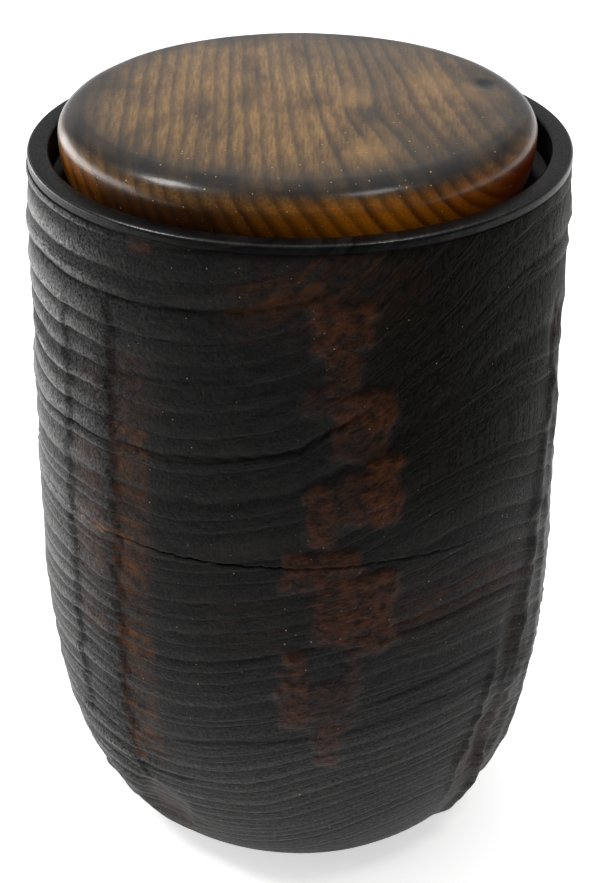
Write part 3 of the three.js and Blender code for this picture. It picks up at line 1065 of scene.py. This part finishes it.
class CaddyLidSettings(bpy.types.PropertyGroup):
    """Sizes and colours of the lacquered lid."""

    around: bpy.props.IntProperty(
        name="Faces round", description="Faces round the lid", default=240, min=48
    )
    amber: bpy.props.StringProperty(
        name="Amber", description="Light wood under the lacquer", default="#9a7540"
    )
    amber_deep: bpy.props.StringProperty(
        name="Deep amber", description="Darker streaks in the light wood", default="#6c4b24"
    )
    late_wood: bpy.props.StringProperty(
        name="Late wood", description="The dark part of each ring", default="#2e1f12"
    )
    # Partly painted light: this orange is brighter than the wood, standing in for light from the front.
    side_amber_and_painted_light: bpy.props.StringProperty(
        name="Side amber", description="Light wood on the side", default="#e88a18"
    )
    side_late: bpy.props.StringProperty(
        name="Side late wood", description="Dark wood on the side", default="#441a05"
    )
    left_stain: bpy.props.StringProperty(
        name="Left stain", description="Redder wood to the left", default="#2c1a10"
    )
    right_stain: bpy.props.StringProperty(
        name="Right stain", description="Red-brown lacquer on the right of the side", default="#6a2006"
    )
    figure: bpy.props.StringProperty(
        name="Figure", description="Bright swirl on the top", default="#a07a48"
    )
    dust: bpy.props.StringProperty(
        name="Dust", description="Dust caught in the lacquer", default="#c8a868"
    )
    roughness: bpy.props.FloatProperty(
        name="Roughness", description="Roughness of the lacquer", default=0.34
    )
    # How dark the colour is made round the shoulder.
    shoulder: bpy.props.FloatProperty(
        name="Shoulder", description="How dark the lacquer is round the shoulder", default=0.97
    )
    heartwood: bpy.props.FloatProperty(
        name="Heartwood", description="Place of the darker stripe, in millimetres right of the middle",
        default=13.0,
    )
    heart_stain: bpy.props.StringProperty(
        name="Heart stain", description="Dark brown of the heartwood", default="#241a11"
    )


class CaddyStageSettings(bpy.types.PropertyGroup):
    """Camera, lights and floor."""

    distance: bpy.props.FloatProperty(
        name="Distance", description="Camera to the caddy's middle", default=0.3744, unit="LENGTH"
    )
    height: bpy.props.FloatProperty(
        name="Aim height", description="Height that the camera looks at", default=0.0623, unit="LENGTH"
    )
    elevation: bpy.props.FloatProperty(
        name="Elevation", description="Camera above the horizon", default=math.radians(27.77),
        subtype="ANGLE",
    )
    lens: bpy.props.FloatProperty(name="Lens", description="Focal length in millimetres", default=97.4)
    room_light: bpy.props.FloatProperty(
        name="Room light", description="Brightness of the room behind", default=0.24
    )
    floor_front: bpy.props.FloatProperty(
        name="Floor front", description="Table edge in front of the caddy", default=0.19, unit="LENGTH"
    )
    floor: bpy.props.FloatProperty(
        name="Floor", description="Width of the floor", default=6.0, unit="LENGTH"
    )


# ---- Operators --------------------------------------------------------------------------


class CADDY_OT_pot(bpy.types.Operator):
    """Builds the blackened pot: turned, worked, then brushed along its growth rings"""

    bl_idname = "caddy.pot"
    bl_label = "Pot"

    def execute(self, context):
        look = context.scene.caddy_pot
        material = blackened_wood(look)
        mesh = pot_mesh(look.around, look.lower_rows, look.upper_rows)
        pot = new_object("pot", mesh)
        values = {
            "Ring width at the foot": look.ring_width,
            "Widening with height": look.widening,
            "Waviness": look.waviness,
            "Relief": look.relief,
            "Seed": 3.0,
        }
        through_nodes(pot, brushed_grain_tree(material), values)
        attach(pot, "body")
        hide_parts("body")
        return {"FINISHED"}


class CADDY_OT_lid(bpy.types.Operator):
    """Builds the amber-lacquered lid, turned with a plug that finds the pot's bore"""

    bl_idname = "caddy.lid"
    bl_label = "Lid"

    def execute(self, context):
        look = context.scene.caddy_lid
        lid = new_object("lacquered_lid", lid_mesh(look.around))
        lid.data.materials.append(amber_lacquered_wood(look))
        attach(lid, "lid")
        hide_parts("lid")
        return {"FINISHED"}


def softbox(name, place, aim, size, power):
    """A flat square light, facing a point."""
    light = bpy.data.lights.new(name, "AREA")
    light.shape = "RECTANGLE"
    light.size, light.size_y = size
    light.energy = power
    lamp = bpy.data.objects.new(name, light)
    bpy.context.scene.collection.objects.link(lamp)
    lamp.location = place
    lamp.rotation_euler = (Vector(aim) - Vector(place)).to_track_quat("-Z", "Y").to_euler()


def pale_room(brightness):
    """A room that is pale behind and above the caddy and dark on the viewer's side."""
    world = bpy.data.worlds.new("soft room")
    world.use_nodes = True
    tree = world.node_tree
    add = partial(add_node, tree)
    room = tree.nodes["Background"]
    seen = add("Background", linear("#ffffff"), 1.0)
    way = add("SeparateXYZ", add("TexCoord").outputs["Generated"])
    behind = add("MapRange", way.outputs[1], -0.5, 0.6)
    above = add(
        "MapRange", {"Value": way.outputs[2], "From Min": 0.35, "From Max": 0.9, "To Max": 4.5}
    )
    front = add("MapRange", way.outputs[1], -0.6, 0.2, 0.12)
    above = add("Math", above, front, operation="MULTIPLY")
    pale = add("Math", behind, above, operation="MAXIMUM")
    glow = add("Math", pale, brightness, 0.11, operation="MULTIPLY_ADD")
    fill(tree, room, (linear("#ffffff"), glow))
    mix = add("MixShader", add("LightPath").outputs["Is Camera Ray"], room, seen)
    fill(tree, tree.nodes["World Output"], (mix,))
    return world


class CADDY_OT_stage(bpy.types.Operator):
    """Sets the camera, the soft lights and the pale floor"""

    bl_idname = "caddy.stage"
    bl_label = "Stage"

    def execute(self, context):
        stage = context.scene.caddy_stage
        camera = bpy.data.objects.new("camera", bpy.data.cameras.new("camera"))
        context.scene.collection.objects.link(camera)
        camera.data.lens = stage.lens
        back = Vector((0, -math.cos(stage.elevation), math.sin(stage.elevation)))
        camera.location = Vector((0, 0, stage.height)) + back * stage.distance
        camera.rotation_euler = (-back).to_track_quat("-Z", "Y").to_euler()
        context.scene.camera = camera

        half = stage.floor / 2
        front = -stage.floor_front
        corners = [(-half, front, 0), (half, front, 0), (half, half, 0), (-half, half, 0)]
        mesh = bpy.data.meshes.new("floor")
        mesh.from_pydata(corners, [], [(0, 1, 2, 3)])
        mesh.materials.append(light_table())
        floor = new_object("floor", mesh)
        floor.location.z = -0.0002

        middle = Vector((0, 0, 0.06))
        softbox("key_above_left", middle + 1.1 * Vector((-0.62, -0.05, 0.78)), middle, (0.26, 0.3), 6.0)
        softbox("left_wall", (-0.55, 0.2, 0.09), middle, (0.7, 0.16), 1.9)
        softbox("above_right", middle + 1.1 * Vector((0.4, -0.26, 0.88)), middle, (0.26, 0.22), 1.8)
        softbox("back_wall", (-0.1, 1.3, 0.7), middle, (1.8, 1.2), 1.6)

        context.scene.world = pale_room(stage.room_light)
        context.scene.view_settings.view_transform = "Standard"
        return {"FINISHED"}


class CADDY_PT_panel(bpy.types.Panel):
    """Lists the caddy's pieces and settings in the sidebar"""

    bl_idname = "CADDY_PT_panel"
    bl_label = "Tea caddy"
    bl_space_type = "VIEW_3D"
    bl_region_type = "UI"
    bl_category = "Tea caddy"

    def draw(self, context):
        for name in ("pot", "lid", "stage"):
            box = self.layout.box()
            box.operator("caddy." + name)
            settings = getattr(context.scene, "caddy_" + name)
            for setting in settings.__annotations__:
                box.prop(settings, setting)


CLASSES = (
    CaddyPotSettings, CaddyLidSettings, CaddyStageSettings,
    CADDY_OT_pot, CADDY_OT_lid, CADDY_OT_stage, CADDY_PT_panel,
)


def register():
    for cls in CLASSES:
        bpy.utils.register_class(cls)
    bpy.types.Scene.caddy_pot = bpy.props.PointerProperty(type=CaddyPotSettings)
    bpy.types.Scene.caddy_lid = bpy.props.PointerProperty(type=CaddyLidSettings)
    bpy.types.Scene.caddy_stage = bpy.props.PointerProperty(type=CaddyStageSettings)


def unregister():
    del bpy.types.Scene.caddy_stage
    del bpy.types.Scene.caddy_lid
    del bpy.types.Scene.caddy_pot
    for cls in reversed(CLASSES):
        bpy.utils.unregister_class(cls)


def main():
    register()
    bpy.ops.caddy.stage()
    bpy.ops.caddy.pot()
    bpy.ops.caddy.lid()
    bpy.context.view_layer.update()


if __name__ == "__main__":
    main()
